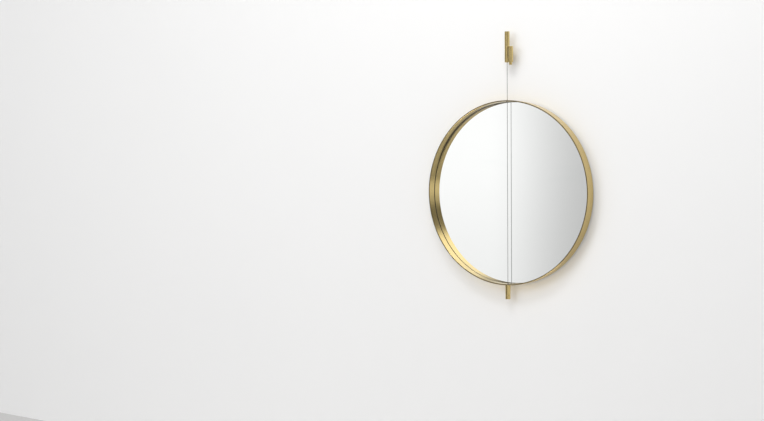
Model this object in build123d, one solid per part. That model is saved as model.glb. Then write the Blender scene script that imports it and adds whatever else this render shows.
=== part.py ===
from build123d import *
import math
import os

# A round wall mirror in a deep brass hoop, hung on one steel cable from a brass wall fitting.
# Millimetres. +Z is up, the mirror faces -Y and the wall is the plane y = 0.
# The origin is on the wall, midway between the two wall screws.

# Overall places
cable_y = -33.0            # the hanging line: bar, cable and bob share it
bar_radius = 11.0          # all three turned brass pieces come from 22 mm bar
ring_centre_z = -596.5
edge_break = 0.5           # chamfer on the ends of the turned pieces
shadow_line = 0.3          # gap at a joint between two turned pieces

# Mirror hoop
ring_radius = 400.0
ring_front_y = -57.0
ring_back_y = -8.6
ring_wall = 5.0            # ahead of the glass
rebate_wall = 2.5          # beside and behind the glass
glass_face_y = -17.4
glass_thick = 4.0
glass_gap = 0.5            # radial play of glass and board in the rebate
gasket_thick = 3.0         # a foam strip that shows as a dark line round the glass
gasket_gap = 0.3           # gasket's inner edge, back from the hoop's inner face
board_thick = 2.4
snap_thick = 1.6           # spring-steel ring that holds glass and board in
snap_groove_depth = 1.0
snap_width = 4.0
snap_gap = 14.0
snap_lug_radius = 4.5
snap_lug_hole = 1.2
bumper_radius = 8.0
bumper_proud = 3.0         # how far a felt bumper stands out behind the hoop
bumper_x = 120.0
bumper_drop = 330.0

# Bushes where the cable passes through the hoop
bush_radius = 4.0
bush_bore = 1.2
bush_flange_radius = 5.5
bush_flange_thick = 0.8
bush_inset = 0.1           # bush face below the hoop's outer face

# Wall bracket: a plate on the wall and an arm that carries the hook barrel
plate_width = 18.0
plate_height = 52.0
plate_thick = 6.0
plate_corner = 3.0
screw_spacing = 36.0
screw_hole = 2.5
screw_sink = 4.9           # radius of the countersink at the plate's face
arm_start = (5.5, -4.0)    # x, y of the arm's centre line
arm_end = (18.0, -33.0)
arm_thick = 6.0
arm_height = 24.0

# Hook barrel, beside the hanger and a little ahead of it
side_angle = -18.0         # degrees from +X, seen from above
barrel_gap = 0.2           # between the two turned surfaces
barrel_top = 37.2
barrel_bottom = -31.4
slot_floor_z = -9.2
slot_neck = 7.0            # widths across the slot
slot_head = 12.0
slot_head_near = 6.5       # from the barrel's axis, towards the hanger
slot_head_far = -3.0

# Lock screw, up through the barrel into the tongue
lock_shank = 2.4
lock_hole = 2.6
lock_bite = 9.0            # depth of the threaded hole in the tongue
lock_head_radius = 6.5
lock_head_height = 11.0
lock_head_taper = 1.5
lock_grooves = 24
lock_groove_radius = 0.45

# Hanger
hanger_top = 103.1
hanger_bottom = -30.9
tongue_play = 0.2
tongue_top = 28.0
tongue_seat = 8.5          # milled flat that takes the tongue, from the hanger's axis
tongue_screw_z = (6.0, 20.0)
tongue_screw_shank = 1.5
tongue_screw_head = 2.8
tongue_screw_head_deep = 1.7
tongue_screw_bite = 6.0    # thread in the hanger
hex_radius = 1.1

# Swivel in the hanger's lower end
pivot_z = -18.0
cup_lean = 15.0            # degrees the cable's mouth in the cup allows
nose_lean = 19.0           # the same in the nose, for a lean out and sideways together
cup_radius = 7.4
cup_play = 0.25
cup_top = 4.5              # above the pivot
ball_radius = 4.0
ball_play = 0.2
nose_radius = 8.6          # threaded seat below the cup
nose_chamber_top = 7.5     # above the pivot
exit_play = 0.45           # air round the cable at the end of its lean

# Cable
cable_radius = 1.0
cable_top_z = pivot_z + 3.0
stop_radius = 2.25
stop_length = 5.5
stop_drop = 3.4            # below the stem, so that the knob can be pulled down

# Bob: a cable gripper with a release knob under it
bob_top = ring_centre_z - ring_radius - 0.8
bob_length = 60.8
housing_length = 44.0
housing_roof = 4.0
housing_hole = 1.5
housing_bore = 6.5
plug_radius = 8.0
plug_thick = 4.6
plug_hole = 3.35
cone_length = 14.0
cone_small = 3.2
cone_large = 5.2
fit_gap = 0.05
ball_count = 3
grip_ball_radius = 1.3
grip_ball_gap = 0.04
cage_radius = 2.9
cage_bore = 1.3
cage_hole = 1.38
cage_flange_radius = 5.9
cage_flange_thick = 2.0
cage_flange_drop = 19.5    # flange top below the bob's top
stem_length = 7.0          # stem held in the knob
spring_radius = 4.6
spring_wire = 0.4
spring_turns = 6
spring_play = 0.15
knob_recess = 3.2
washer_thick = 0.6
washer_radius = 8.0
washer_hole = 1.6
knob_screw_radius = 1.5
knob_screw_length = 6.0
knob_screw_drop = 4.0      # below the knob's top

parts = {}


def disc(radius, front, back):
    """A round plate that faces -Y, centred on the mirror."""
    return Pos(0, (front + back) / 2, ring_centre_z) * Rot(90, 0, 0) * Cylinder(radius, back - front)


def rod(radius, low, high, y=cable_y, x=0.0):
    """An upright cylinder between two heights."""
    return Pos(x, y, (low + high) / 2) * Cylinder(radius, high - low)


def frustum(low_radius, high_radius, low, high):
    """An upright cone frustum on the hanging line."""
    return Pos(0, cable_y, (low + high) / 2) * Cone(low_radius, high_radius, high - low)


def across(radius, x, z, front, back):
    """A cylinder along Y."""
    return Pos(x, (front + back) / 2, z) * Rot(90, 0, 0) * Cylinder(radius, back - front)


def block(width, front, back, low, high, x=0.0):
    """A box centred on x."""
    return Pos(x, (front + back) / 2, (low + high) / 2) * Box(width, back - front, high - low)


def broken_ends(shape):
    """Chamfers the outer rim at both ends of a turned piece."""
    rims = shape.edges().filter_by(GeomType.CIRCLE)
    rims = [e for e in rims if abs(e.radius - bar_radius) < 0.01]
    return chamfer(rims, edge_break)


side_turn = math.radians(side_angle)
barrel_offset = 2 * bar_radius + barrel_gap
barrel_x = barrel_offset * math.cos(side_turn)
barrel_y = cable_y + barrel_offset * math.sin(side_turn)


def beside(shape):
    """Places a shape drawn with +X running from the hook barrel's axis to the hanger's axis."""
    return Pos(barrel_x, barrel_y, 0) * Rot(0, 0, 180 + side_angle) * shape


def span(near, far, width, low, high):
    """A box between two distances from the hook barrel's axis towards the hanger."""
    return Pos((near + far) / 2, 0, (low + high) / 2) * Box(abs(far - near), width, high - low)


def toward(radius, near, far, z):
    """A cylinder along the line from the hook barrel's axis to the hanger's axis."""
    return Pos((near + far) / 2, 0, z) * Rot(0, 90, 0) * Cylinder(radius, abs(far - near))


def wall_bracket():
    plate = Pos(0, -plate_thick / 2, 0) * Box(plate_width, plate_thick, plate_height)
    plate = fillet(plate.edges().filter_by(Axis.Y), plate_corner)
    run_x, run_y = arm_end[0] - arm_start[0], arm_end[1] - arm_start[1]
    middle = Pos((arm_start[0] + arm_end[0]) / 2, (arm_start[1] + arm_end[1]) / 2, 0)
    turn = math.degrees(math.atan2(run_y, run_x))
    body = plate + middle * Rot(0, 0, turn) * Box(math.hypot(run_x, run_y), arm_thick, arm_height)
    body -= rod(bar_radius, -arm_height, arm_height, barrel_y, barrel_x)
    body -= block(2 * plate_width, 0, plate_thick, -plate_height, plate_height)
    for z in (-screw_spacing / 2, screw_spacing / 2):
        body -= across(screw_hole, 0, z, -plate_thick - 1, 1)
        deep = screw_sink - screw_hole
        sink = Pos(0, -plate_thick + deep / 2, z) * Rot(90, 0, 0) * Cone(screw_hole, screw_sink, deep)
        body -= sink
    return body


def hook_barrel():
    body = broken_ends(rod(bar_radius, barrel_bottom, barrel_top, barrel_y, barrel_x))
    top = barrel_top + 1
    body -= beside(span(slot_head_far, slot_head_near, slot_head, slot_floor_z, top))
    body -= beside(span(slot_head_near, 2 * bar_radius, slot_neck, slot_floor_z, top))
    body -= rod(lock_hole, barrel_bottom - 1, slot_floor_z + 1, barrel_y, barrel_x)
    return body


def lock_screw():
    """A thumb screw with a grooved head, whose tip goes up into the tongue."""
    head_top = barrel_bottom - shadow_line
    head_bottom = head_top - lock_head_height
    body = rod(lock_head_radius, head_bottom, head_top, barrel_y, barrel_x)
    rims = body.edges().filter_by(GeomType.CIRCLE).sort_by(Axis.Z)
    body = chamfer(rims[0], lock_head_taper)
    for i in range(lock_grooves):
        turn = 2 * math.pi * i / lock_grooves
        x = barrel_x + lock_head_radius * math.cos(turn)
        y = barrel_y + lock_head_radius * math.sin(turn)
        body -= rod(lock_groove_radius, head_bottom - 1, head_top - 1.5, y, x)
    tip = slot_floor_z + tongue_play + lock_bite - 0.5
    return body + rod(lock_shank, head_top, tip, barrel_y, barrel_x)


def hanger_barrel():
    body = broken_ends(rod(bar_radius, hanger_bottom, hanger_top))
    seat = barrel_offset - tongue_seat
    body -= beside(span(seat - bar_radius, seat, 2 * bar_radius, slot_floor_z, tongue_top + tongue_play))
    body -= rod(nose_radius, hanger_bottom - 1, pivot_z + nose_chamber_top)
    for z in tongue_screw_z:
        body -= beside(toward(tongue_screw_shank, seat - 1, seat + tongue_screw_bite, z))
    return body


def hanger_tongue():
    low, high = slot_floor_z + tongue_play, tongue_top
    far, near = slot_head_far + tongue_play, slot_head_near - tongue_play
    seat = barrel_offset - tongue_seat
    body = span(far, near, slot_head - 2 * tongue_play, low, high)
    body += span(near, seat, slot_neck - 2 * tongue_play, low, high)
    body -= Pos(0, 0, low + lock_bite / 2) * Cylinder(lock_hole, lock_bite)
    for z in tongue_screw_z:
        body -= toward(tongue_screw_shank, far - 1, seat + 1, z)
        body -= toward(tongue_screw_head + fit_gap, far - 1, far + tongue_screw_head_deep, z)
    return beside(body)


def tongue_screws():
    screws = []
    face = slot_head_far + tongue_play
    seat = barrel_offset - tongue_seat
    for z in tongue_screw_z:
        head = toward(tongue_screw_head, face + fit_gap, face + tongue_screw_head_deep, z)
        shank = toward(tongue_screw_shank, face + tongue_screw_head_deep, seat + tongue_screw_bite, z)
        socket = Pos(face, 0, z) * Rot(0, 90, 0) * extrude(RegularPolygon(hex_radius, 6), 1.0, both=True)
        screws.append(beside(head + shank - socket))
    return Compound(screws)


def exit_radius(distance, degrees):
    """Radius of the mouth that lets the cable lean by some degrees, at a distance below the pivot."""
    lean = math.radians(degrees)
    return distance * math.tan(lean) + cable_radius / math.cos(lean) + exit_play


def seat_nose():
    """The threaded seat that closes the hanger's lower end and carries the swivel cup."""
    body = rod(nose_radius, hanger_bottom, pivot_z)
    body -= Pos(0, cable_y, pivot_z) * Sphere(cup_radius + cup_play)
    drop = pivot_z - hanger_bottom
    wide, narrow = exit_radius(drop + 1, nose_lean), exit_radius(0, nose_lean)
    body -= frustum(wide, narrow, hanger_bottom - 1, pivot_z)
    return body


def swivel_cup():
    body = Pos(0, cable_y, pivot_z) * Sphere(cup_radius)
    body -= rod(2 * cup_radius, pivot_z + cup_top, pivot_z + 2 * cup_radius)
    body -= Pos(0, cable_y, pivot_z) * Sphere(ball_radius + ball_play)
    body -= rod(ball_radius + ball_play, pivot_z, pivot_z + 2 * cup_radius)
    wide, narrow = exit_radius(cup_radius + 1, cup_lean), exit_radius(0, cup_lean)
    body -= frustum(wide, narrow, pivot_z - cup_radius - 1, pivot_z)
    return body


def cable_ball():
    body = Pos(0, cable_y, pivot_z) * Sphere(ball_radius)
    return body - rod(cable_radius, pivot_z - 2 * ball_radius, cable_top_z)


stop_top = bob_top - housing_length - shadow_line - stem_length - stop_drop
stop_bottom = stop_top - stop_length


def cable():
    return rod(cable_radius, stop_bottom + 0.5, cable_top_z)


def cable_end_stop():
    return rod(stop_radius, stop_bottom, stop_top) - rod(cable_radius, stop_bottom + 0.5, stop_top + 1)


def ring_frame():
    shoulder = glass_face_y - gasket_thick
    body = disc(ring_radius, ring_front_y, ring_back_y)
    body -= disc(ring_radius - ring_wall, ring_front_y - 1, shoulder)
    body -= disc(ring_radius - rebate_wall, shoulder, ring_back_y + 1)
    snap_front = glass_face_y + glass_thick + board_thick
    groove_radius = ring_radius - rebate_wall + snap_groove_depth
    body -= disc(groove_radius, snap_front, snap_front + snap_thick + fit_gap)
    lips = [e for e in body.edges().filter_by(GeomType.CIRCLE)
            if abs(e.center().Y - ring_front_y) < 0.01
            or (abs(e.center().Y - ring_back_y) < 0.01 and abs(e.radius - ring_radius) < 0.01)]
    body = chamfer(lips, edge_break)
    for z in (ring_centre_z + ring_radius, ring_centre_z - ring_radius):
        body -= rod(bush_radius, z - 2 * ring_wall, z + 2 * ring_wall)
    return body


def bush(direction):
    """A flanged bush pressed into the hoop, at its top (direction 1) or its bottom (-1)."""
    inner = ring_radius - ring_wall
    flange_high = inner - bush_inset
    outer = ring_radius - bush_inset
    body = rod(bush_radius, flange_high - bush_flange_thick, outer)
    body += rod(bush_flange_radius, flange_high - bush_flange_thick, flange_high)
    body -= rod(bush_bore, inner - 2 * ring_wall, ring_radius + ring_wall)
    if direction < 0:
        body = mirror(body, about=Plane.XY)
    return Pos(0, 0, ring_centre_z) * body


def mirror_glass():
    return disc(ring_radius - rebate_wall - glass_gap, glass_face_y, glass_face_y + glass_thick)


def edge_gasket():
    outer = ring_radius - rebate_wall - glass_gap
    inner = ring_radius - ring_wall + gasket_gap
    front = glass_face_y - gasket_thick
    return disc(outer, front, glass_face_y) - disc(inner, front - 1, glass_face_y + 1)


def backing_board():
    front = glass_face_y + glass_thick
    return disc(ring_radius - rebate_wall - glass_gap, front, front + board_thick)


def snap_ring():
    """A split ring in the hoop's groove, with two eyes for the pliers at its gap."""
    front = glass_face_y + glass_thick + board_thick
    outer = ring_radius - rebate_wall + snap_groove_depth - fit_gap
    body = disc(outer, front, front + snap_thick) - disc(outer - snap_width, front - 1, front + snap_thick + 1)
    top = ring_centre_z + outer
    body -= block(snap_gap, front - 1, front + snap_thick + 1, top - 4 * snap_width, top + snap_width)
    for side in (-1, 1):
        x = side * (snap_gap / 2 + snap_lug_radius)
        z = top - snap_width - snap_lug_radius + 1
        body += across(snap_lug_radius, x, z, front, front + snap_thick)
        body -= across(snap_lug_hole, x, z, front - 1, front + snap_thick + 1)
    return body


def wall_bumpers():
    front = glass_face_y + glass_thick + board_thick
    z = ring_centre_z - bumper_drop
    return Compound([across(bumper_radius, side * bumper_x, z, front, ring_back_y + bumper_proud)
                     for side in (-1, 1)])


def bob_housing():
    bottom = bob_top - housing_length
    body = broken_ends(rod(bar_radius, bottom, bob_top))
    body -= rod(housing_hole, bottom - 1, bob_top + 1)
    body -= rod(housing_bore, bottom - 1, bob_top - housing_roof)
    body -= rod(plug_radius, bottom - 1, bottom + plug_thick + shadow_line)
    return body


cone_top = bob_top - housing_roof - fit_gap
cone_bottom = cone_top - cone_length
cone_slope = (cone_large - cone_small) / cone_length
grip_ball_orbit = cable_radius + grip_ball_radius + grip_ball_gap
grip_ball_z = cone_top - (
    grip_ball_orbit + (grip_ball_radius + grip_ball_gap) * math.hypot(1, cone_slope) - cone_small
) / cone_slope
cage_flange_top = bob_top - cage_flange_drop
cage_flange_bottom = cage_flange_top - cage_flange_thick
plug_bottom = bob_top - housing_length + shadow_line
knob_top = bob_top - housing_length - shadow_line
stem_bottom = knob_top - stem_length


def grip_cone():
    """The hardened sleeve whose taper wedges the balls onto the cable."""
    body = rod(housing_bore - fit_gap, cone_bottom, cone_top)
    return body - frustum(cone_large, cone_small, cone_bottom, cone_top)


def grip_balls():
    balls = []
    for i in range(ball_count):
        turn = math.radians(90 + i * 360 / ball_count)
        x, y = grip_ball_orbit * math.cos(turn), cable_y + grip_ball_orbit * math.sin(turn)
        balls.append(Pos(x, y, grip_ball_z) * Sphere(grip_ball_radius))
    return Compound(balls)


def ball_cage():
    """The tube that holds the balls, with the spring's flange and the stem down to the knob."""
    body = rod(cage_radius, stem_bottom, grip_ball_z + 2 * grip_ball_radius)
    body += rod(cage_flange_radius, cage_flange_bottom, cage_flange_top)
    body -= rod(cage_bore, stem_bottom - 1, bob_top)
    for i in range(ball_count):
        hole = Pos(0, 0, cage_radius) * Cylinder(cage_hole, 2 * cage_radius)
        body -= Pos(0, cable_y, grip_ball_z) * Rot(0, 0, i * 360 / ball_count) * Rot(-90, 0, 0) * hole
    return body


def grip_spring():
    low = plug_bottom + plug_thick + spring_play + spring_wire
    high = cage_flange_bottom - spring_play - spring_wire
    height = high - low
    path = Helix(pitch=height / spring_turns, height=height, radius=spring_radius)
    section = Plane(path @ 0, z_dir=path % 0) * Circle(spring_wire)
    return Pos(0, cable_y, low) * sweep(section, path, is_frenet=True)


def housing_plug():
    top = plug_bottom + plug_thick
    return rod(plug_radius, plug_bottom, top) - rod(plug_hole, plug_bottom - 1, top + 1)


def thrust_washer():
    low = bob_top + fit_gap
    return rod(washer_radius, low, low + washer_thick) - rod(washer_hole, low - 1, low + washer_thick + 1)


knob_screw_z = knob_top - knob_screw_drop


def release_knob():
    bottom = bob_top - bob_length
    body = broken_ends(rod(bar_radius, bottom, knob_top))
    body -= rod(cage_radius, stem_bottom, knob_top + 1)
    body -= rod(knob_recess, bottom - 1, stem_bottom)
    body -= across(knob_screw_radius, 0, knob_screw_z, cable_y + cage_radius, cable_y + 2 * bar_radius)
    return body


def knob_screw():
    front = cable_y + cage_radius
    body = across(knob_screw_radius, 0, knob_screw_z, front, front + knob_screw_length)
    socket = RegularPolygon(hex_radius * 0.75, 6)
    return body - Pos(0, front + knob_screw_length, knob_screw_z) * Rot(90, 0, 0) * extrude(socket, 1.5, both=True)


parts["wall_bracket"] = wall_bracket()
parts["hook_barrel"] = hook_barrel()
parts["lock_screw"] = lock_screw()
parts["hanger_barrel"] = hanger_barrel()
parts["hanger_tongue"] = hanger_tongue()
parts["tongue_screws"] = tongue_screws()
parts["seat_nose"] = seat_nose()
parts["swivel_cup"] = swivel_cup()
parts["cable_ball"] = cable_ball()
parts["cable"] = cable()
parts["cable_end_stop"] = cable_end_stop()
parts["ring_frame"] = ring_frame()
parts["top_bush"] = bush(1)
parts["bottom_bush"] = bush(-1)
parts["mirror_glass"] = mirror_glass()
parts["edge_gasket"] = edge_gasket()
parts["backing_board"] = backing_board()
parts["snap_ring"] = snap_ring()
parts["wall_bumpers"] = wall_bumpers()
parts["bob_housing"] = bob_housing()
parts["grip_cone"] = grip_cone()
parts["grip_balls"] = grip_balls()
parts["ball_cage"] = ball_cage()
parts["grip_spring"] = grip_spring()
parts["housing_plug"] = housing_plug()
parts["thrust_washer"] = thrust_washer()
parts["release_knob"] = release_knob()
parts["knob_screw"] = knob_screw()

os.makedirs("parts", exist_ok=True)
for name, shape in parts.items():
    export_step(shape, f"parts/{name}.step")
print("wrote", len(parts), "parts")
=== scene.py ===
import bpy
import math
import numpy as np
from mathutils import Matrix, Vector


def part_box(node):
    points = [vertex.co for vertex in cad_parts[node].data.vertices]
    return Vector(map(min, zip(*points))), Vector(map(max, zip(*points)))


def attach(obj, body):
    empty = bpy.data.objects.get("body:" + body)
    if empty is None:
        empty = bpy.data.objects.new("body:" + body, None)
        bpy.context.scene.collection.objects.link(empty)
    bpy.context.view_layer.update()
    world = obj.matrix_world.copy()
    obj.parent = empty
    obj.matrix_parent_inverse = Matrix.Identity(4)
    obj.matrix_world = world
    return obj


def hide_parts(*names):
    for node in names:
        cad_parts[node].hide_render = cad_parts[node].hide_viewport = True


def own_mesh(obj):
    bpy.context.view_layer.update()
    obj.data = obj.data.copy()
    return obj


# A round wall mirror in a deep brushed brass hoop, hung on one steel cable.
# The frame is in metres. Sizes in the pieces' dictionaries are in millimetres, and those of the
# camera, the room and the lights in metres.
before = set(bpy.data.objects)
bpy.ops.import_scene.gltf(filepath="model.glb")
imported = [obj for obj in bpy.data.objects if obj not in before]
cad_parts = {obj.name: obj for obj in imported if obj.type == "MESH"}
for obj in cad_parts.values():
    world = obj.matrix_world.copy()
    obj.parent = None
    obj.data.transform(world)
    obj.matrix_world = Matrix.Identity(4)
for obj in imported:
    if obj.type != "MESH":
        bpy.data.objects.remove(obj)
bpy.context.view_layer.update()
mm = 0.001
full = 2 * math.pi         # one whole turn


def middleOf(node):
    low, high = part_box(node)
    return (np.array(low) + np.array(high)) / 2


def spanOf(node, axis):
    low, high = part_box(node)
    return low[axis], high[axis]


def spanInMm(node, axis):
    low, high = spanOf(node, axis)
    return low / mm, high / mm


def radiusOf(node, axis):
    # half of its width along one axis, in millimetres
    low, high = spanOf(node, axis)
    return (high - low) / 2 / mm


hangLine = middleOf("hanger_barrel")[:2]              # x, y of the cable
hookLine = middleOf("hook_barrel")[:2]
hoopCentre = (hangLine[0], middleOf("ring_frame")[1], middleOf("ring_frame")[2])
print("frame loaded:", len(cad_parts), "nodes")

cameraPlace = {
    "place": (2.770, -4.619, -0.5035),     # from the wall bracket's middle
    "yaw": 36.97,          # degrees to the left of +Y
    "roll": -0.194,
    "focal": 57.86,        # millimetres
    "sensor": 36.0,
    "shiftUp": -0.0508,    # of the sensor's width
    "nearest": 0.05, "farthest": 60,
}


def makeCamera(c):
    yaw, roll = math.radians(c["yaw"]), math.radians(c["roll"])
    ahead = Vector((-math.sin(yaw), math.cos(yaw), 0))
    level = Vector((math.cos(yaw), math.sin(yaw), 0))
    up = Vector((0, 0, 1))
    right = level * math.cos(roll) + up * math.sin(roll)
    top = up * math.cos(roll) - level * math.sin(roll)
    data = bpy.data.cameras.new("camera")
    data.sensor_width = c["sensor"]
    data.lens = c["focal"]
    data.shift_y = c["shiftUp"]
    data.clip_start, data.clip_end = c["nearest"], c["farthest"]
    camera = bpy.data.objects.new("camera", data)
    bpy.context.scene.collection.objects.link(camera)
    turn = Matrix((right, top, -ahead)).transposed().to_4x4()
    camera.matrix_world = Matrix.Translation(c["place"]) @ turn
    bpy.context.scene.camera = camera


makeCamera(cameraPlace)
bpy.context.scene.view_settings.view_transform = "Standard"


def addObject(name, mesh, body, node):
    # a piece of the object, which rides on a body and stands in for one CAD node
    piece = bpy.data.objects.new(name, mesh)
    bpy.context.scene.collection.objects.link(piece)
    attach(piece, body)
    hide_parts(node)
    return piece


def meshFromGrid(name, points, wrapAround, wrapAlong, uv=None, wear=None, zones=None):
    # points[row, column] is the surface at two parameters. A row whose points all coincide is a pole,
    # which becomes one vertex. Quads join neighbours, and the faces are turned outwards at the end
    # by the sign of the enclosed volume, the sum of corner . (corner x corner) / 6.
    rows, columns = points.shape[:2]
    pole = np.ptp(points, axis=1).max(axis=1) < 1e-9
    counts = np.where(pole, 1, columns)
    starts = np.concatenate(([0], np.cumsum(counts)[:-1]))
    index = starts[:, None] + np.where(pole[:, None], 0, np.arange(columns)[None, :])
    keep = np.ones((rows, columns), bool)
    keep[pole, 1:] = False
    flat = points[keep]
    rowAt = np.arange(rows if wrapAlong else rows - 1)
    columnAt = np.arange(columns if wrapAround else columns - 1)
    r, c = (a.ravel() for a in np.meshgrid(rowAt, columnAt, indexing="ij"))
    rNext, cNext = (r + 1) % rows, (c + 1) % columns
    quads = np.stack([index[r, c], index[r, cNext], index[rNext, cNext], index[rNext, c]], axis=1)
    one, two, three, four = (flat[quads[:, k]] for k in range(4))
    volume = sum(np.einsum("ij,ij->i", one, np.cross(*pair)).sum() for pair in ((two, three), (three, four)))
    corners = np.stack([np.stack([r, c], 1), np.stack([r, c + 1], 1),
                        np.stack([r + 1, c + 1], 1), np.stack([r + 1, c], 1)], axis=1)
    if volume < 0:
        quads, corners = quads[:, ::-1], corners[:, ::-1]
    same = quads == np.roll(quads, -1, axis=1)
    whole = ~same.any(axis=1)
    cut = np.argmax(same, axis=1)
    order = (cut[:, None] + 1 + np.arange(3)[None, :]) % 4
    line = np.arange(len(quads))[:, None]
    triangles, triangleCorners = quads[line, order], corners[line, order]
    faces = quads[whole].tolist() + triangles[~whole].tolist()
    mesh = bpy.data.meshes.new(name)
    mesh.from_pydata(flat.tolist(), [], faces)
    if uv is not None:
        u, v = uv
        loops = np.concatenate([corners[whole].reshape(-1, 2), triangleCorners[~whole].reshape(-1, 2)])
        flow = mesh.uv_layers.new(name="flow")
        flow.data.foreach_set("uv", np.stack([u[loops[:, 1]], v[loops[:, 0]]], axis=1).ravel())
    if wear is not None:
        held = mesh.attributes.new("wear", "FLOAT", "POINT")
        held.data.foreach_set("value", np.repeat(wear[:, None], columns, 1)[keep])
    if zones is not None:
        mesh.polygons.foreach_set("material_index", np.concatenate([zones[r][whole], zones[r][~whole]]))
    smooth(mesh)
    return mesh


def smooth(mesh, angle=32):
    mesh.polygons.foreach_set("use_smooth", np.ones(len(mesh.polygons), bool))
    mesh.set_sharp_from_angle(angle=math.radians(angle))
    mesh.update()


def roundedOutline(corners, closed=False, steps=4):
    # A corner is (across, along) or (across, along, radius). A radius turns it into an arc about the
    # point radius / sin(half the angle) in along the bisector: at a share t of its sweep it lies at
    # (sin((1 - t) sweep) first + sin(t sweep) last) / sin(sweep), with first and last from its centre.
    # A guard point half a radius to each side keeps the flats beside it flat in the shading.
    # Returns the points and how worn each one is.
    count = len(corners)
    points, wear = [], []
    for i, corner in enumerate(corners):
        here = np.array(corner[:2], float)
        radius = corner[2] if len(corner) > 2 else 0
        if radius == 0 or (not closed and i in (0, count - 1)):
            points.append(here)
            wear.append(0.0)
            continue
        before = np.array(corners[i - 1][:2], float) - here
        after = np.array(corners[(i + 1) % count][:2], float) - here
        before, after = before / np.linalg.norm(before), after / np.linalg.norm(after)
        half = math.acos(np.clip(before @ after, -1, 1)) / 2
        centre = here + (before + after) / np.linalg.norm(before + after) * radius / math.sin(half)
        first, last = here + before * radius / math.tan(half), here + after * radius / math.tan(half)
        sweep = math.pi - 2 * half
        t = np.linspace(0, 1, steps + 1)[:, None]
        arc = np.sin((1 - t) * sweep) * (first - centre) + np.sin(t * sweep) * (last - centre)
        arc = arc / math.sin(sweep)
        guard = 0.5 * radius
        points += [first + before * guard, *(centre + arc), last + after * guard]
        wear += [0.0, *[1.0] * (steps + 1), 0.0]
    return np.array(points), np.array(wear)


def lathe(name, corners, place, axis="z", count=128, closed=False, steps=4, notch=None, zones=None):
    # The outline (across, along) turned about an axis: (across cos t, across sin t, along).
    # notch(t, along) scales the across value, for grooves.
    outline, wear = roundedOutline(corners, closed, steps)
    turn = np.linspace(0, full, count, endpoint=False)
    across, along = outline[:, :1] * mm, outline[:, 1:] * mm
    scale = notch(turn[None, :], outline[:, 1:]) if notch else 1.0
    one, two = across * scale * np.cos(turn), across * scale * np.sin(turn)
    height = np.broadcast_to(along, one.shape)
    order = (one, two, height) if axis == "z" else (one, height, two)
    points = np.stack(order, axis=2) + np.array(place)
    ring = np.vstack([outline, outline[:1]])
    u = np.linspace(0, full * outline[:, 0].max() * mm, count + 1)
    v = np.concatenate(([0], np.cumsum(np.linalg.norm(np.diff(ring, axis=0), axis=1)))) * mm
    zone = zones(outline) if zones else None
    return meshFromGrid(name, points, True, closed, (u, v), wear, zone)


def prism(name, outline, low, high, place, turn=0.0):
    # An outline in x and y, turned and moved, carried straight up from low to high: (x c - y s, x s + y c).
    outline = np.array(outline, float) * mm
    c, s = math.cos(turn), math.sin(turn)
    flat = outline @ np.array([[c, s], [-s, c]]) + np.array(place)
    count = len(flat)
    points = [(*p, low * mm) for p in flat] + [(*p, high * mm) for p in flat]
    sides = [(i, (i + 1) % count, count + (i + 1) % count, count + i) for i in range(count)]
    mesh = bpy.data.meshes.new(name)
    mesh.from_pydata(points, [], [tuple(range(count))[::-1], tuple(range(count, 2 * count)), *sides])
    return mesh


def carve(mesh, *cutters):
    # The mesh less each cutter, worked out once and kept as plain geometry.
    scene = bpy.context.scene
    piece = bpy.data.objects.new("carved", mesh)
    scene.collection.objects.link(piece)
    tools = []
    for cutter in cutters:
        tool = bpy.data.objects.new("cutter", cutter)
        scene.collection.objects.link(tool)
        tools.append(tool)
        cut = piece.modifiers.new("cut", "BOOLEAN")
        cut.operation, cut.solver, cut.object = "DIFFERENCE", "EXACT", tool
    bpy.context.view_layer.update()
    made = bpy.data.meshes.new_from_object(piece.evaluated_get(bpy.context.evaluated_depsgraph_get()))
    for gone in (piece, *tools):
        bpy.data.objects.remove(gone)
    smooth(made)
    return made


def smoothedCopy(name, node, body):
    # The CAD piece's own surface with its loose triangles joined and its round faces shaded smooth.
    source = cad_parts[node].data
    vertices = np.empty(len(source.vertices) * 3)
    source.vertices.foreach_get("co", vertices)
    loops = np.empty(len(source.loops), int)
    source.loops.foreach_get("vertex_index", loops)
    spots, back = np.unique(np.round(vertices.reshape(-1, 3), 7), axis=0, return_inverse=True)
    faces = back.ravel()[loops].reshape(-1, 3)
    sound = (faces[:, 0] != faces[:, 1]) & (faces[:, 1] != faces[:, 2]) & (faces[:, 2] != faces[:, 0])
    mesh = bpy.data.meshes.new(name)
    mesh.from_pydata(spots.tolist(), [], faces[sound].tolist())
    smooth(mesh)
    return addObject(name, mesh, body, node)


def joinMeshes(name, meshes, angle):
    points, faces, start = [], [], 0
    for mesh in meshes:
        points += [tuple(v.co) for v in mesh.vertices]
        faces += [[start + i for i in p.vertices] for p in mesh.polygons]
        start += len(mesh.vertices)
    joined = bpy.data.meshes.new(name)
    joined.from_pydata(points, [], faces)
    smooth(joined, angle)
    return joined


cable = {
    "strands": 6,
    "pointsOnStrand": 6,
    "lay": 15.0,           # length of one turn of the rope
    "ringStep": 1.0,
    "radius": 1.0,
    "wiresRound": 18,      # wires seen round the rope
    "wireLay": 1.9,
}
cableLow, cableHigh = spanOf("cable", 2)
cableRoute = [(*hangLine, cableHigh), (*hangLine, (cableHigh + cableLow) / 2), (*hangLine, cableLow)]


def readRoute(route):
    # The route's own NURBS spline, read back as points along it.
    curve = bpy.data.curves.new("route", "CURVE")
    curve.dimensions = "3D"
    spline = curve.splines.new("NURBS")
    spline.points.add(len(route) - 1)
    for point, at in zip(spline.points, route):
        point.co = (*at, 1)
    spline.order_u = 3
    spline.use_endpoint_u = True
    holder = bpy.data.objects.new("route", curve)
    made = bpy.data.meshes.new_from_object(holder)
    found = np.array([v.co for v in made.vertices])
    bpy.data.objects.remove(holder)
    return found


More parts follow.
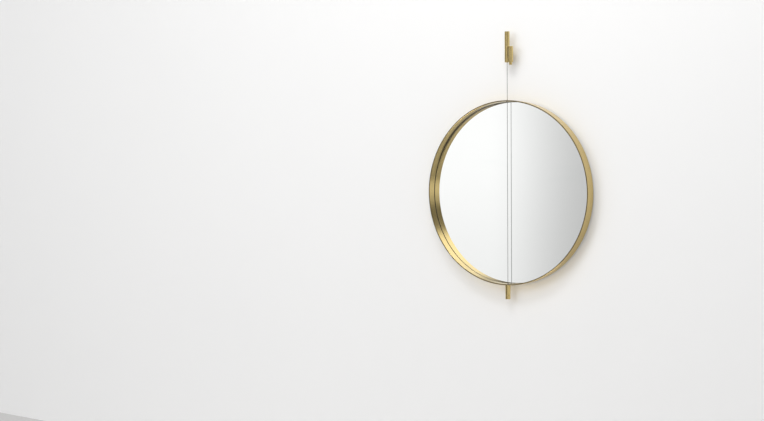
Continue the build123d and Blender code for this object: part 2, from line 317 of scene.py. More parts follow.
def makeCable(c):
    # The rope's section is the outline of round strands that touch: at an angle a from the nearest
    # strand's centre it lies at b cos a + sqrt(s^2 - b^2 sin^2 a), with s the strand's radius and b
    # its centre's. The section turns once in each lay length as it is carried down the route.
    route = readRoute(cableRoute)
    steps = np.linalg.norm(np.diff(route, axis=0), axis=1)
    travelled = np.concatenate(([0], np.cumsum(steps)))
    rings = int(travelled[-1] / (c["ringStep"] * mm))
    at = np.linspace(0, travelled[-1], rings)
    centres = np.stack([np.interp(at, travelled, route[:, k]) for k in range(3)], axis=1)
    strand = c["radius"] / 3
    orbit = c["radius"] - strand
    count = c["strands"] * c["pointsOnStrand"]
    turn = np.linspace(0, full, count, endpoint=False)
    sector = full / c["strands"]
    away = (turn + sector / 2) % sector - sector / 2
    out = orbit * np.cos(away) + np.sqrt(np.maximum(strand**2 - (orbit * np.sin(away))**2, 0))
    twist = at[:, None] / (c["lay"] * mm) * full + turn[None, :]
    x, y = out * np.cos(twist) * mm, out * np.sin(twist) * mm
    points = centres[:, None, :] + np.stack([x, y, np.zeros_like(x)], axis=2)
    ends = [np.repeat(centres[k][None, None, :], count, axis=1) for k in (0, -1)]
    points = np.concatenate([ends[0], points, ends[1]])
    v = np.concatenate(([0], at, [at[-1]]))
    mesh = meshFromGrid("hanging_cable", points, True, False, (np.linspace(0, 1, count + 1), v))
    piece = addObject("hanging_cable", mesh, "cable_line", "cable")
    return piece


hangingCable = makeCable(cable)
print("camera and cable made")


class Wire:
    # One output socket that can stand in an expression.
    def __init__(self, shader, socket):
        self.shader, self.socket = shader, socket

    def maths(self, operation, other=0.0, reflected=False):
        pair = {0: other, 1: self} if reflected else {0: self, 1: other}
        return self.shader.node("ShaderNodeMath", {"operation": operation}, pair)

    def __add__(self, other):
        return self.maths("ADD", other)

    def __sub__(self, other):
        return self.maths("SUBTRACT", other)

    def __rsub__(self, other):
        return self.maths("SUBTRACT", other, True)

    def __mul__(self, other):
        return self.maths("MULTIPLY", other)

    __radd__ = __add__
    __rmul__ = __mul__

    def ramp(self, low, high, start=0.0, end=1.0):
        # start at low and below, end at high and above, eased in between
        return self.shader.node("ShaderNodeMapRange", {"interpolation_type": "SMOOTHSTEP"}, {
            "Value": self, "From Min": low, "From Max": high, "To Min": start, "To Max": end})


class Shader:
    # A material's or the world's node tree. node() is the one way a node is added.
    def __init__(self, owner):
        owner.use_nodes = True
        self.owner, self.tree = owner, owner.node_tree
        self.tree.nodes.clear()

    def node(self, kind, settings=None, sockets=None, output=0):
        made = self.tree.nodes.new(kind)
        for key, value in (settings or {}).items():
            setattr(made, key, value)
        for key, value in (sockets or {}).items():
            if isinstance(value, Wire):
                self.tree.links.new(value.socket, made.inputs[key])
            else:
                made.inputs[key].default_value = value
        return Wire(self, made.outputs[output]) if len(made.outputs) else None

    def place(self, stretch, source="Object"):
        # coordinates in metres, multiplied axis by axis
        if source == "flow":
            where = self.node("ShaderNodeUVMap", {"uv_map": "flow"})
        else:
            where = self.node("ShaderNodeTexCoord", output=source)
        return self.node("ShaderNodeVectorMath", {"operation": "MULTIPLY"}, {0: where, 1: stretch})

    def axis(self, where, name):
        return self.node("ShaderNodeSeparateXYZ", {}, {0: where}, name)

    def noise(self, where, detail=2.0, roughness=0.5):
        return self.node("ShaderNodeTexNoise", {}, {
            "Vector": where, "Scale": 1.0, "Detail": detail, "Roughness": roughness})

    def attribute(self, name):
        return self.node("ShaderNodeAttribute", {"attribute_name": name}, output="Fac")

    def mix(self, factor, first, second):
        # colours meet in a Mix node, whose colour sockets are 6 and 7
        return self.node("ShaderNodeMix", {"data_type": "RGBA"}, {0: factor, 6: first, 7: second}, 2)

    def bump(self, height, strength, distance):
        return self.node("ShaderNodeBump", {}, {
            "Height": height, "Strength": strength, "Distance": distance})

    def surface(self, **sockets):
        names = {key.replace("_", " "): value for key, value in sockets.items()}
        skin = self.node("ShaderNodeBsdfPrincipled", {}, names)
        self.node("ShaderNodeOutputMaterial", {}, {"Surface": skin})
        return self.owner


def shaderFor(name):
    return Shader(bpy.data.materials.new(name))


def colour(red, green, blue):
    return (red, green, blue, 1.0)


brass = {
    "light": colour(0.700, 0.550, 0.250),
    "deep": colour(0.595, 0.455, 0.185),
    "edge": colour(0.80, 0.665, 0.400),
    "roughness": 0.205,
    "lineWidth": 0.16,     # of one brushed line, in millimetres
    "lineLength": 26.0,
    "lineDepth": 0.006,
}
# painted shade: the same brass painted darker and duller for the bar's front edge, which this light leaves
# dark
edgeShadeBrass = {
    "light": colour(0.300, 0.240, 0.130),
    "deep": colour(0.210, 0.160, 0.080),
    "edge": colour(0.52, 0.42, 0.25),
    "roughness": 0.36,
    "lineWidth": 0.12,
    "lineLength": 14.0,
    "lineDepth": 0.006,
}
# painted shade on the bar's inside next to the glass, strongest in the hoop's upper half
paintedGlassShade = {
    "colour": colour(0.045, 0.034, 0.016),
    "most": 0.88,
    "near": 4.0, "far": 20.0,      # millimetres in front of the glass between which it fades away
    "low": 60.0, "high": 240.0,    # millimetres above the hoop's centre between which it comes in
}


def satinBrass(name, b, source="flow", stretch=None, paintedShade=None):
    # brushed along u: long thin noise for the lines, broad noise for the tone, bright worn edges;
    # paintedShade adds a painted shade near the glass
    s = shaderFor(name)
    fine = stretch or (1 / (b["lineLength"] * mm), 1 / (b["lineWidth"] * mm), 1)
    lines = s.noise(s.place(fine, source), 3, 0.6)
    broad = s.noise(s.place([k * 0.22 for k in fine], source), 2, 0.5)
    tone = s.noise(s.place((7, 7, 7)), 3, 0.55)
    patch = s.noise(s.place((38, 38, 38)), 2, 0.6)
    worn = s.attribute("wear") * s.noise(s.place((300, 300, 300)), 2).ramp(0.35, 0.7)
    shade = (lines * 0.34 + broad * 0.24 + tone * 0.34 + patch * 0.14 - 0.03).ramp(0.2, 0.8)
    body = s.mix(shade, b["deep"], b["light"])
    if paintedShade:
        # painted shade: the bar's inside is painted darker towards the glass in the hoop's upper half, where
        # less light reaches
        where, face, middle = s.place((1, 1, 1)), spanOf("mirror_glass", 1)[0], hoopCentre[2]
        close = s.axis(where, "Y").ramp(face - paintedShade["far"] * mm, face - paintedShade["near"] * mm)
        above = s.axis(where, "Z").ramp(middle + paintedShade["low"] * mm, middle + paintedShade["high"] * mm)
        body = s.mix(close * above * paintedShade["most"], body, paintedShade["colour"])
    rough = b["roughness"] + (lines - 0.5) * 0.14 + (tone - 0.5) * 0.10 + (patch - 0.5) * 0.06 - worn * 0.04
    return s.surface(Base_Color=s.mix(worn * 0.6, body, b["edge"]), Metallic=1.0, Roughness=rough,
                     Normal=s.bump(lines + broad * 0.6, 0.5, b["lineDepth"] * mm))


def plainMetal(name, light, deep, roughness, grain, stretch=(1, 1, 1)):
    # a small machined or plated steel piece: fine grain and duller patches; grain is in millimetres
    s = shaderFor(name)
    fine = s.noise(s.place([k / (grain * mm) for k in stretch]), 3, 0.6)
    patch = s.noise(s.place((160, 160, 160)), 3, 0.6)
    shade = (fine * 0.5 + patch * 0.5).ramp(0.3, 0.7)
    rough = roughness + (fine - 0.5) * 0.2 + (patch - 0.5) * 0.2
    return s.surface(Base_Color=s.mix(shade, deep, light), Metallic=1.0, Roughness=rough,
                     Normal=s.bump(fine, 0.4, 0.01 * mm))


mirrorFace = {"silver": colour(0.945, 0.955, 0.95), "haze": colour(0.90, 0.92, 0.915)}


def silveredGlass(m):
    # a clean mirror: a trace of haze in broad soft wipes and a few specks of dust
    s = shaderFor("silvered glass")
    wipe = s.noise(s.place((2.2, 1, 9.0)), 3, 0.6).ramp(0.55, 0.85)
    dust = s.noise(s.place((900, 900, 900)), 1, 0.5).ramp(0.80, 0.86)
    face = s.mix(wipe * 0.35 + dust * 0.3, m["silver"], m["haze"])
    return s.surface(Base_Color=face, Metallic=1.0, Roughness=0.004 + wipe * 0.006 + dust * 0.05)


def glassEdge():
    s = shaderFor("ground glass edge")
    grind = s.noise(s.place((600, 600, 600)), 3, 0.6)
    tint = s.mix(grind, colour(0.10, 0.24, 0.19), colour(0.30, 0.47, 0.40))
    return s.surface(Base_Color=tint, Roughness=0.35 + grind * 0.2, Coat_Weight=0.4,
                     Normal=s.bump(grind, 0.3, 0.02 * mm))


def paintedBack():
    s = shaderFor("mirror back paint")
    spray = s.noise(s.place((220, 220, 220)), 3, 0.6)
    tint = s.mix(spray, colour(0.20, 0.21, 0.22), colour(0.27, 0.28, 0.29))
    return s.surface(Base_Color=tint, Roughness=0.5 + spray * 0.2, Normal=s.bump(spray, 0.3, 0.05 * mm))


def strandedSteel():
    # the wires in each strand lie across it, so their lines run slantwise over the strand
    s = shaderFor("stranded cable steel")
    where = s.node("ShaderNodeUVMap", {"uv_map": "flow"})
    u, v = s.axis(where, "X"), s.axis(where, "Y")
    wires = u * (full * cable["wiresRound"]) + v * (full / (cable["wireLay"] * mm))
    wires = wires.maths("SINE") * 0.5 + 0.5
    strandValleyShade = (u * (full * cable["strands"])).maths("COSINE").ramp(-1.0, 0.2)
    grime = s.noise(s.place((120, 120, 60)), 3, 0.6)
    # painted shade: the steel is painted nearly black in the valleys between strands and darker in the lines
    # between wires
    steel = s.mix(strandValleyShade * (0.55 + wires * 0.45), colour(0.02, 0.02, 0.02), colour(0.20, 0.195, 0.185))
    return s.surface(Base_Color=s.mix(grime * 0.25, steel, colour(0.09, 0.085, 0.08)), Metallic=0.9,
                     Roughness=0.36 + grime * 0.2, Normal=s.bump(wires, 0.7, 0.04 * mm))


def foam():
    s = shaderFor("black foam")
    cells = s.node("ShaderNodeTexVoronoi", {}, {"Vector": s.place((1400, 1400, 1400)), "Scale": 1.0})
    tint = s.mix(cells, colour(0.006, 0.006, 0.006), colour(0.022, 0.022, 0.022))
    return s.surface(Base_Color=tint, Roughness=0.9, Specular_IOR_Level=0.2,
                     Normal=s.bump(cells, 0.6, 0.2 * mm))


def laminateBoard():
    # grey laminate with fine flecks, a broad mottle and a few long rubs from handling
    s = shaderFor("grey laminate board")
    fleck = s.noise(s.place((900, 900, 900)), 2, 0.7).ramp(0.5, 0.72)
    mottle = s.noise(s.place((11, 11, 11)), 4, 0.6)
    rub = s.noise(s.place((5, 5, 90)), 3, 0.7).ramp(0.64, 0.78)
    tint = s.mix(mottle, colour(0.200, 0.205, 0.205), colour(0.265, 0.27, 0.27))
    tint = s.mix(fleck * 0.35, tint, colour(0.42, 0.42, 0.41))
    return s.surface(Base_Color=s.mix(rub * 0.25, tint, colour(0.40, 0.40, 0.39)),
                     Roughness=0.55 + fleck * 0.15 - rub * 0.12,
                     Normal=s.bump(fleck + mottle, 0.25, 0.05 * mm))


def woolFelt():
    s = shaderFor("grey felt")
    fibre = s.noise(s.place((700, 2600, 900)), 4, 0.75)
    lump = s.noise(s.place((180, 180, 180)), 3, 0.6)
    shade = (fibre * 0.6 + lump * 0.4).ramp(0.3, 0.7)
    tint = s.mix(shade, colour(0.09, 0.09, 0.092), colour(0.27, 0.265, 0.26))
    return s.surface(Base_Color=tint, Roughness=0.95, Sheen_Weight=0.35, Sheen_Roughness=0.5,
                     Normal=s.bump(fibre + lump, 0.9, 0.35 * mm))


def acetal():
    s = shaderFor("white acetal")
    turned = s.noise(s.place((200, 200, 5200)), 2, 0.5)
    patch = s.noise(s.place((90, 90, 90)), 3, 0.6)
    tint = s.mix(patch, colour(0.74, 0.74, 0.71), colour(0.86, 0.86, 0.84))
    return s.surface(Base_Color=tint, Roughness=0.36 + turned * 0.2, Subsurface_Weight=0.05,
                     Subsurface_Scale=0.002, Normal=s.bump(turned, 0.25, 0.02 * mm))


upright = (1, 1, 40)       # machining lines round a vertical axis: fast change with height
finishes = {
    "brass": satinBrass("satin brass", brass),
    "barEdgeShaded": satinBrass("brass bar edge, painted shade", edgeShadeBrass),
    "barInsidePaintedShade": satinBrass("satin brass bar inside, painted shade", brass, paintedShade=paintedGlassShade),
    "brassSolid": satinBrass("satin brass, solid pieces", brass, "Object", (40, 40, 5000)),
    "steel": plainMetal("turned stainless steel", colour(0.66, 0.66, 0.65), colour(0.46, 0.46, 0.46), 0.28,
                        1.2, upright),
    "spring": plainMetal("oiled spring steel", colour(0.30, 0.30, 0.31), colour(0.15, 0.15, 0.16), 0.34, 0.5),
    "zinc": plainMetal("zinc plated steel", colour(0.70, 0.72, 0.73), colour(0.52, 0.54, 0.57), 0.32, 0.6),
    "silver": silveredGlass(mirrorFace),
    "glassEdge": glassEdge(),
    "backPaint": paintedBack(),
    "cable": strandedSteel(),
    "foam": foam(),
    "board": laminateBoard(),
    "felt": woolFelt(),
    "acetal": acetal(),
}
print("finishes made:", len(finishes))


def dress(piece, *names):
    # a piece made here keeps which face has which finish; a CAD node's own materials go first
    mesh = piece.data if isinstance(piece, bpy.types.Object) else piece
    if len(mesh.materials):
        mesh.materials.clear()
    for name in names:
        mesh.materials.append(finishes[name])
    return piece


dress(hangingCable, "cable")

hoop = {
    "wall": 5.0,
    "rebateWall": 2.5,
    "lip": 0.5,            # chamfer at the front and back edges
    "soft": 0.18,          # radius that rounds the chamfer's own corners
    "groove": 1.0,
    "grooveWidth": 1.65,
    "segments": 640,
    "bushRadius": 4.0,
    "drillOver": 8.0,      # how far the bushes' holes are drilled past the bar
}
hoopFront, hoopBack = spanInMm("ring_frame", 1)
hoopRadius = radiusOf("ring_frame", 2)
gasketFront = spanInMm("edge_gasket", 1)[0]
snapFront = spanInMm("snap_ring", 1)[0]
discPlace = (hoopCentre[0], 0.0, hoopCentre[2])


def makeHoop(h):
    # the flat bar's section, with its rebate and groove, carried round the circle
    outer, inner, rebate = hoopRadius, hoopRadius - h["wall"], hoopRadius - h["rebateWall"]
    lip, soft = h["lip"], h["soft"]
    section = [
        (outer, hoopBack - lip, soft), (outer, hoopFront + lip, soft), (outer - lip, hoopFront, soft),
        (inner + lip, hoopFront, soft), (inner, hoopFront + lip, soft), (inner, gasketFront, soft),
        (rebate, gasketFront), (rebate, snapFront), (rebate + h["groove"], snapFront),
        (rebate + h["groove"], snapFront + h["grooveWidth"]), (rebate, snapFront + h["grooveWidth"]),
        (rebate, hoopBack, soft), (outer - lip, hoopBack, soft),
    ]

    def barZones(outline):
        # 1 on the bar's front edge, 2 on its inside, 0 elsewhere; a row runs from a point to the next
        onEdge = outline[:, 1] < hoopFront + 0.5 * lip
        inside = (outline[:, 0] < inner + 0.05) & ~onEdge
        edgeRow, insideRow = (mask & np.roll(mask, -1) for mask in (onEdge, inside))
        return np.where(edgeRow, 1, np.where(insideRow, 2, 0))

    mesh = lathe("hoop", section, discPlace, "y", h["segments"], closed=True, zones=barZones)
    # zone 1 takes the edge brass painted darker and zone 2 the inside brass with its painted shade near the
    # glass
    dress(mesh, "brass", "barEdgeShaded", "barInsidePaintedShade")
    drills = []
    for side in (1, -1):
        ends = (inner - h["drillOver"], outer + h["drillOver"])
        low, high = sorted(hoopCentre[2] / mm + side * end for end in ends)
        shape = [(0, low), (h["bushRadius"], low), (h["bushRadius"], high), (0, high)]
        drills.append(lathe("drill", shape, (*hangLine, 0), count=48))
    addObject("hoop", carve(mesh, *drills), "mirror", "ring_frame")


makeHoop(hoop)

bush = {"bore": 1.2, "flange": 5.5, "flangeThick": 0.8, "inset": 0.1}


def makeBush(name, node, side, b):
    # a flanged tube; side is 1 at the hoop's top and -1 at its bottom
    centre = hoopCentre[2] / mm
    inner = hoopRadius - hoop["wall"] - b["inset"]
    outer = hoopRadius - b["inset"]
    foot = inner - b["flangeThick"]
    section = [(b["bore"], foot, 0.25), (b["flange"], foot, 0.25), (b["flange"], inner, 0.1),
               (hoop["bushRadius"], inner), (hoop["bushRadius"], outer, 0.15), (b["bore"], outer, 0.35)]
    section = [(c[0], centre + side * c[1], *c[2:]) for c in section]
    mesh = lathe(name, section, (*hangLine, 0), count=64, closed=True)
    dress(addObject(name, mesh, "mirror", node), "steel")


makeBush("upper_bush", "top_bush", 1, bush)
makeBush("lower_bush", "bottom_bush", -1, bush)

glass = {"arris": 0.45, "segments": 512}


def makeGlass(g):
    # a flat disc with ground edges; the front face is the mirror, the back is painted
    front, back = spanInMm("mirror_glass", 1)
    radius, cut = radiusOf("mirror_glass", 2), g["arris"]
    section = [(0, front), (radius - cut, front), (radius, front + cut), (radius, back - cut),
               (radius - cut, back), (0, back)]
    faceEdgeBack = np.array([0, 1, 1, 1, 2, 2])
    mesh = lathe("mirror_disc", section, discPlace, "y", g["segments"], zones=lambda outline: faceEdgeBack)
    piece = addObject("mirror_disc", mesh, "mirror", "mirror_glass")
    dress(piece, "silver", "glassEdge", "backPaint")


makeGlass(glass)


def makeDisc(name, node, finish, inner, soft):
    # a flat ring or plate behind or before the glass, with softened edges
    front, back = spanInMm(node, 1)
    radius = radiusOf(node, 2)
    section = [(radius, front, soft), (radius, back, soft)]
    if inner:
        section += [(inner, back, soft), (inner, front, soft)]
    else:
        section = [(0, front), *section, (0, back)]
    mesh = lathe(name, section, discPlace, "y", glass["segments"], closed=bool(inner), steps=3)
    dress(addObject(name, mesh, "mirror", node), finish)


gasket = {"gap": 0.3, "soft": 0.1}         # gap: from the bar's inside to the gasket's
board = {"soft": 0.3}
gasketInner = hoopRadius - hoop["wall"] + gasket["gap"]
makeDisc("gasket", "edge_gasket", "foam", gasketInner, gasket["soft"])
makeDisc("back_board", "backing_board", "board", 0, board["soft"])
dress(smoothedCopy("retaining_ring", "snap_ring", "mirror"), "spring")

bumper = {"soft": 1.1, "fuzz": 0.10, "rings": 22, "sideRings": 8, "segments": 72, "shading": 50, "seed": 20}


def makeBumpers(b):
    # two felt discs: the section is a disc with a rounded rim, and each point moves in or out by a
    # small seeded random amount, which leaves the face uneven as felt is
    low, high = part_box("wall_bumpers")
    radius = (high[2] - low[2]) / 2 / mm
    front, back = low[1] / mm, high[1] / mm
    face = [(t * (radius - b["soft"] - 1), back) for t in np.linspace(0, 1, b["rings"])[::-1]]
    side = [(radius, y) for y in np.linspace(front, back - b["soft"] - 0.4, b["sideRings"])]
    section = [(0, front), *side, (radius, back, b["soft"]), *face]
    meshes = []
    for k, x in enumerate((low[0] + radius * mm, high[0] - radius * mm)):
        mesh = lathe("bumper", section, (x, 0.0, (low[2] + high[2]) / 2), "y", b["segments"])
        at = np.empty(len(mesh.vertices) * 3)
        mesh.vertices.foreach_get("co", at)
        normals = np.empty_like(at)
        mesh.vertices.foreach_get("normal", normals)
        draw = np.random.default_rng(b["seed"] + k).uniform(-1, 0, len(mesh.vertices))
        at += (normals.reshape(-1, 3) * (draw * b["fuzz"] * mm)[:, None]).ravel()
        mesh.vertices.foreach_set("co", at)
        meshes.append(mesh)
    joined = joinMeshes("felt_bumpers", meshes, b["shading"])
    dress(addObject("felt_bumpers", joined, "mirror", "wall_bumpers"), "felt")


makeBumpers(bumper)
print("hoop, glass and back made")

turned = {"chamfer": 0.5, "soft": 0.14}
barRadius = radiusOf("hanger_barrel", 0)


def rim(radius, z, inward, t=turned):
    # the two softened corners of a chamfered rim; inward is -1 under a top face, 1 over a bottom face
    return [(radius - t["chamfer"], z, t["soft"]), (radius, z + inward * t["chamfer"], t["soft"])]


hanger = {"noseRadius": 8.6, "chamberTop": -10.5, "flatLow": -9.2, "flatHigh": 28.2, "flatFar": 13.7}


def towardHanger():
    # the angle from the hook barrel's axis to the hanger's axis
    away = hangLine - hookLine
    return math.atan2(away[1], away[0])


def makeHanger(h):
    low, high = spanInMm("hanger_barrel", 2)
    section = [(0, high), *rim(barRadius, high, -1), *rim(barRadius, low, 1)[::-1],
               (h["noseRadius"], low, 0.15), (h["noseRadius"], h["chamberTop"]), (0, h["chamberTop"])]
    mesh = lathe("hanger", section, (*hangLine, 0))
    far, side = h["flatFar"], barRadius + 1
    pocket = [(0, -side), (far, -side), (far, side), (0, side)]
    cutter = prism("pocket", pocket, h["flatLow"], h["flatHigh"], hookLine, towardHanger())
    dress(addObject("hanger", carve(mesh, cutter), "hanger", "hanger_barrel"), "brass")


makeHanger(hanger)

hook = {"slotFloor": -9.2, "neck": 7.0, "head": 12.0, "headNear": 6.5, "headFar": -3.0, "bore": 2.6}


def makeHook(h):
    low, high = spanInMm("hook_barrel", 2)
    section = [(0, high), *rim(barRadius, high, -1), *rim(barRadius, low, 1)[::-1],
               (h["bore"], low, 0.15), (h["bore"], h["slotFloor"] + 1), (0, h["slotFloor"] + 1)]
    mesh = lathe("hook", section, (*hookLine, 0))
    head, neck, near, far, mouth = h["head"] / 2, h["neck"] / 2, h["headNear"], h["headFar"], 2 * barRadius
    slotShape = [(far, -head), (near, -head), (near, -neck), (mouth, -neck),
                 (mouth, neck), (near, neck), (near, head), (far, head)]
    cutter = prism("slot", slotShape, h["slotFloor"], high + 2, hookLine, towardHanger())
    dress(addObject("hook", carve(mesh, cutter), "wall_mount", "hook_barrel"), "brass")


makeHook(hook)

lock = {"headHeight": 11.0, "taper": 1.5, "shank": 2.4, "grooves": 24, "depth": 0.06, "plainTop": 1.6}


def makeLock(k):
    # the head's radius is scaled by 1 - depth * groove(angle), where groove is a narrow repeated dip
    low, high = spanInMm("lock_screw", 2)
    radius = radiusOf("lock_screw", 0)
    headTop = low + k["headHeight"]
    section = [(0, low), (radius - k["taper"], low, 0.3), (radius, low + k["taper"], 0.3),
               (radius, headTop - k["plainTop"] - 0.5), (radius, headTop - k["plainTop"]),
               (radius, headTop, 0.35), (k["shank"], headTop), (k["shank"], high, 0.4), (0, high)]

    def groove(turn, along):
        dip = (0.5 + 0.5 * np.cos(turn * k["grooves"])) ** 4
        onHead = (along < headTop - k["plainTop"] - 0.1) & (along > low + 0.1)
        return 1 - k["depth"] * dip * onHead

    mesh = lathe("locking_knob", section, (*hookLine, 0), count=k["grooves"] * 10, notch=groove)
    dress(addObject("locking_knob", mesh, "lock", "lock_screw"), "brass")


makeLock(lock)

dress(smoothedCopy("bracket", "wall_bracket", "wall_mount"), "brassSolid")
dress(smoothedCopy("tongue", "hanger_tongue", "hanger"), "zinc")
dress(smoothedCopy("socket_screws", "tongue_screws", "hanger"), "zinc")
dress(smoothedCopy("nose", "seat_nose", "hanger"), "brassSolid")
dress(smoothedCopy("cup", "swivel_cup", "swivel"), "acetal")
dress(smoothedCopy("ball_end", "cable_ball", "cable_line"), "steel")
print("wall fitting made")

bob = {"hole": 1.5, "bore": 6.5, "roof": 4.0, "plugRadius": 8.0, "plugDepth": 4.9}
knob = {"stemRadius": 2.9, "recess": 3.2, "stemLength": 7.0, "screwRadius": 1.5, "screwDrop": 4.0}


def makeBob(b, k):
    low, high = spanInMm("bob_housing", 2)
    step, roof = low + b["plugDepth"], high - b["roof"]
    section = [(b["hole"], high, 0.2), *rim(barRadius, high, -1), *rim(barRadius, low, 1)[::-1],
               (b["plugRadius"], low, 0.15), (b["plugRadius"], step), (b["bore"], step),
               (b["bore"], roof), (b["hole"], roof)]
    mesh = lathe("bob_case", section, (*hangLine, 0), closed=True)
    dress(addObject("bob_case", mesh, "bob", "bob_housing"), "brass")

    low, high = spanInMm("release_knob", 2)
    foot = high - k["stemLength"]
    section = [(k["stemRadius"], high), *rim(barRadius, high, -1), *rim(barRadius, low, 1)[::-1],
               (k["recess"], low, 0.3), (k["recess"], foot), (k["stemRadius"], foot)]
    mesh = lathe("pull_knob", section, (*hangLine, 0), closed=True)
    radius, near, far = k["screwRadius"], hangLine[1] / mm + 1, hangLine[1] / mm + 2 * barRadius
    shape = [(0, near), (radius, near), (radius, far), (0, far)]
    drill = lathe("drill", shape, (hangLine[0], 0, (high - k["screwDrop"]) * mm), "y", 40)
    dress(addObject("pull_knob", carve(mesh, drill), "release", "release_knob"), "brass")


makeBob(bob, knob)


washer = {"hole": 1.6, "soft": 0.15, "holeSoft": 0.1}


def makeWasher(w):
    low, high = spanInMm("thrust_washer", 2)
    radius = radiusOf("thrust_washer", 0)
    section = [(w["hole"], low, w["holeSoft"]), (radius, low, w["soft"]),
               (radius, high, w["soft"]), (w["hole"], high, w["holeSoft"])]
    mesh = lathe("bob_washer", section, (*hangLine, 0), closed=True, count=96)
    dress(addObject("bob_washer", mesh, "bob", "thrust_washer"), "acetal")


makeWasher(washer)

stop = {"chamferAcross": 0.3, "chamferUp": 0.5, "taper": 0.7, "mouth": 1.15, "hole": 0.9, "holeDepth": 0.4}


def makeStop(c):
    # a swaged steel ferrule on the cable's end
    low, high = spanInMm("cable_end_stop", 2)
    radius, floor = radiusOf("cable_end_stop", 0), high - c["holeDepth"]
    section = [(0, low), (radius - c["chamferAcross"], low, 0.2), (radius, low + c["chamferUp"], 0.2),
               (radius, high - c["taper"], 0.3), (c["mouth"], high, 0.1), (c["hole"], high),
               (c["hole"], floor), (0, floor)]
    mesh = lathe("swaged_stop", section, (*hangLine, 0), count=64)
    dress(addObject("swaged_stop", mesh, "cable_line", "cable_end_stop"), "steel")


makeStop(stop)
dress(smoothedCopy("set_screw", "knob_screw", "release"), "spring")
for node, finish in (("grip_cone", "spring"), ("grip_balls", "spring"), ("ball_cage", "steel"),
                     ("housing_plug", "brassSolid")):
    dress(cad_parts[node], finish)


def makeSpring():
    # its foot stands on the plug, and pulling the knob presses the real spring shorter by the knob's travel;
    # here it keeps its rest shape, in a mesh of its own
    piece = dress(smoothedCopy("release_spring", "grip_spring", "bob"), "spring")
    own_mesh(piece)


makeSpring()
print("bob made")

room = {
    "left": -9.0, "right": 7.0, "high": 4.0, "deep": -7.0,
    "mirrorHeight": 1.38,      # of the hoop's centre above the floor, in metres
    "wallY": 0.0004,           # just behind the bracket's back
    "wallColour": colour(0.90, 0.90, 0.90),
    "floorColour": colour(0.58, 0.575, 0.57),
}


def flatSheet(name, corners):
    mesh = bpy.data.meshes.new(name)
    mesh.from_pydata(corners, [], [tuple(range(len(corners)))])
    sheet = bpy.data.objects.new(name, mesh)
    bpy.context.scene.collection.objects.link(sheet)
    return sheet


def stageFinish(name, tint, grain):
    # plain paint on its front; seen from its back it isn't there, so that it never hides the object
    s = shaderFor(name)
    mottle = s.noise(s.place((1.1, 1.1, 1.1)), 2, 0.5)
    orange = s.noise(s.place((grain, grain, grain)), 2, 0.5)
    shade = s.mix(mottle, tint, colour(*[k * 0.985 for k in tint[:3]]))
    paint = s.node("ShaderNodeBsdfPrincipled", {}, {
        "Base Color": shade, "Roughness": 0.85, "Specular IOR Level": 0.2,
        "Normal": s.bump(orange, 0.05, 0.2 * mm)})
    clear = s.node("ShaderNodeBsdfTransparent")
    back = s.node("ShaderNodeNewGeometry", output="Backfacing")
    skin = s.node("ShaderNodeMixShader", {}, {0: back, 1: paint, 2: clear})
    s.node("ShaderNodeOutputMaterial", {}, {"Surface": skin})
    return s.owner


def makeStage(r):
    floorZ, wallY, left, right = hoopCentre[2] - r["mirrorHeight"], r["wallY"], r["left"], r["right"]
    wall = flatSheet("wall", [(left, wallY, floorZ), (right, wallY, floorZ),
                              (right, wallY, r["high"]), (left, wallY, r["high"])])
    floor = flatSheet("floor", [(left, r["deep"], floorZ), (right, r["deep"], floorZ),
                                (right, wallY, floorZ), (left, wallY, floorZ)])
    wall.data.materials.append(stageFinish("wall paint", r["wallColour"], 500))
    floor.data.materials.append(stageFinish("floor paint", r["floorColour"], 300))
    for sheet in (wall, floor):
        sheet.visible_shadow = False


makeStage(room)

sky = {
    "glow": 0.66,
    "overhead": 0.10,          # added straight up
    "left": 0.42,              # what is left of the glow along the wall to the left
    "flag": 0.62,              # what the dark band to the right takes away
    "glint": 0.30,             # what the bright patch under that band adds
}


def makeWorld(w):
    # brighter overhead, darker along the wall to the left and in a band to the right above eye level,
    # with a brighter patch under that band. x and z are the view direction's.
    world = bpy.data.worlds.new("studio")
    bpy.context.scene.world = world
    s = Shader(world)
    way = s.node("ShaderNodeTexCoord", output="Generated")
    x, z = s.axis(way, "X"), s.axis(way, "Z")
    glow = (w["glow"] + z.ramp(0.3, 0.9, 0.0, w["overhead"])) * x.ramp(-0.97, -0.70, w["left"], 1.0)
    flag = x.ramp(0.15, 0.40) * z.ramp(0.08, 0.17) * z.ramp(0.34, 0.44, 1.0, 0.0)
    glint = x.ramp(0.36, 0.52) * z.ramp(-0.18, -0.10) * z.ramp(-0.02, 0.05, 1.0, 0.0)
    glow = glow * (1.0 - flag * w["flag"]) + glint * w["glint"]
    ground = s.node("ShaderNodeBackground", {}, {"Color": colour(1.0, 1.0, 1.0), "Strength": glow})
    s.node("ShaderNodeOutputWorld", {}, {"Surface": ground})


def lightOnly(lamp, *receivers):
    # the lamp lights these objects and nothing else
    lit = bpy.data.collections.new("lit by " + lamp.name)
    for receiver in receivers:
        lit.objects.link(receiver)
    lamp.light_linking.receiver_collection = lit


softPanel = {
    "left": -6.2, "right": -1.2, "low": -1.97, "high": 0.5, "y": -4.6,
    "glow": 0.98,
    "fadeFrom": -3.0, "fadeTo": -1.9, "dim": 0.53,         # along x, and what is left at the right
    "footLow": -1.7, "footHigh": -0.1, "foot": 0.86,       # along z, and what is left at the foot
    "grey": 0.08,
}


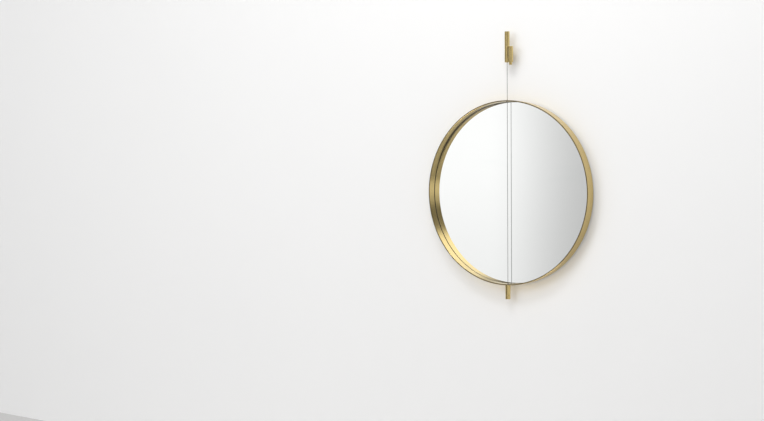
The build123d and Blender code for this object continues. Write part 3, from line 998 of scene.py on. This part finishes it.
def makePanel(p):
    # a wide soft panel in front and to the left, fading towards its right end. It glows in the glass
    # alone; in the brass it is a grey card.
    left, right, low, high, y = p["left"], p["right"], p["low"], p["high"], p["y"]
    panel = flatSheet("soft_panel", [(left, y, low), (right, y, low), (right, y, high), (left, y, high)])
    s = shaderFor("panel glow")
    where = s.place((1, 1, 1))
    glow = s.axis(where, "X").ramp(p["fadeFrom"], p["fadeTo"], 1.0, p["dim"]) * p["glow"]
    glow = glow * s.axis(where, "Z").ramp(p["footLow"], p["footHigh"], p["foot"], 1.0)
    light = s.node("ShaderNodeEmission", {}, {"Color": colour(1.0, 1.0, 0.995), "Strength": glow})
    card = s.node("ShaderNodeBsdfDiffuse", {}, {"Color": colour(p["grey"], p["grey"], p["grey"])})
    both = s.node("ShaderNodeAddShader", {}, {0: light, 1: card})
    s.node("ShaderNodeOutputMaterial", {}, {"Surface": both})
    panel.data.materials.append(s.owner)
    panel.visible_camera = panel.visible_diffuse = panel.visible_shadow = False
    lightOnly(panel, bpy.data.objects["mirror_disc"])


warmWhite, white, amber = (1.0, 0.995, 0.985), (1.0, 1.0, 1.0), (1.0, 0.95, 0.86)
softBoxes = (
    # name, place, aim, width, height, watts, tint, what alone it lights
    ("front", (0.3, -3.0, 1.25), (0.3, 0.0, -0.6), 1.5, 1.15, 6.0, warmWhite, ()),
    ("front_left", (-1.05, -3.0, 1.15), (-0.6, 0.0, -0.6), 1.2, 1.15, 3.7, warmWhite, ()),
    ("overhead", (0.3, -2.4, 2.8), (0.0, 0.0, -0.7), 2.4, 0.9, 48, warmWhite, ()),
    ("behind", (-1.2, 3.4, 1.2), (0.0, 0.0, -0.6), 2.2, 2.2, 90, white, ()),
    ("wall_wash", (-3.4, -6.0, 1.0), (-3.4, 0.0, -0.6), 4.0, 3.0, 90, white, ("wall",)),
    ("wall_wash_right", (1.8, -2.6, 1.8), (1.3, 0.0, 0.4), 1.6, 1.6, 7, white, ("wall",)),
    ("kicker", (0.05, -0.40, -1.9), (0.0, -0.03, -1.0), 1.1, 0.7, 14.0, amber,
     ("hoop", "bob_case", "pull_knob")),
)


def makeLights(boxes):
    for name, place, aim, width, height, watts, tint, lit in boxes:
        data = bpy.data.lights.new(name, "AREA")
        data.shape, data.size, data.size_y = "RECTANGLE", width, height
        data.energy, data.color = watts, tint
        lamp = bpy.data.objects.new(name, data)
        bpy.context.scene.collection.objects.link(lamp)
        lamp.location = place
        lamp.rotation_euler = (Vector(aim) - Vector(place)).to_track_quat("-Z", "Y").to_euler()
        if lit:
            lightOnly(lamp, *[bpy.data.objects[piece] for piece in lit])


makeWorld(sky)
makePanel(softPanel)
makeLights(softBoxes)
print("stage and lights made")
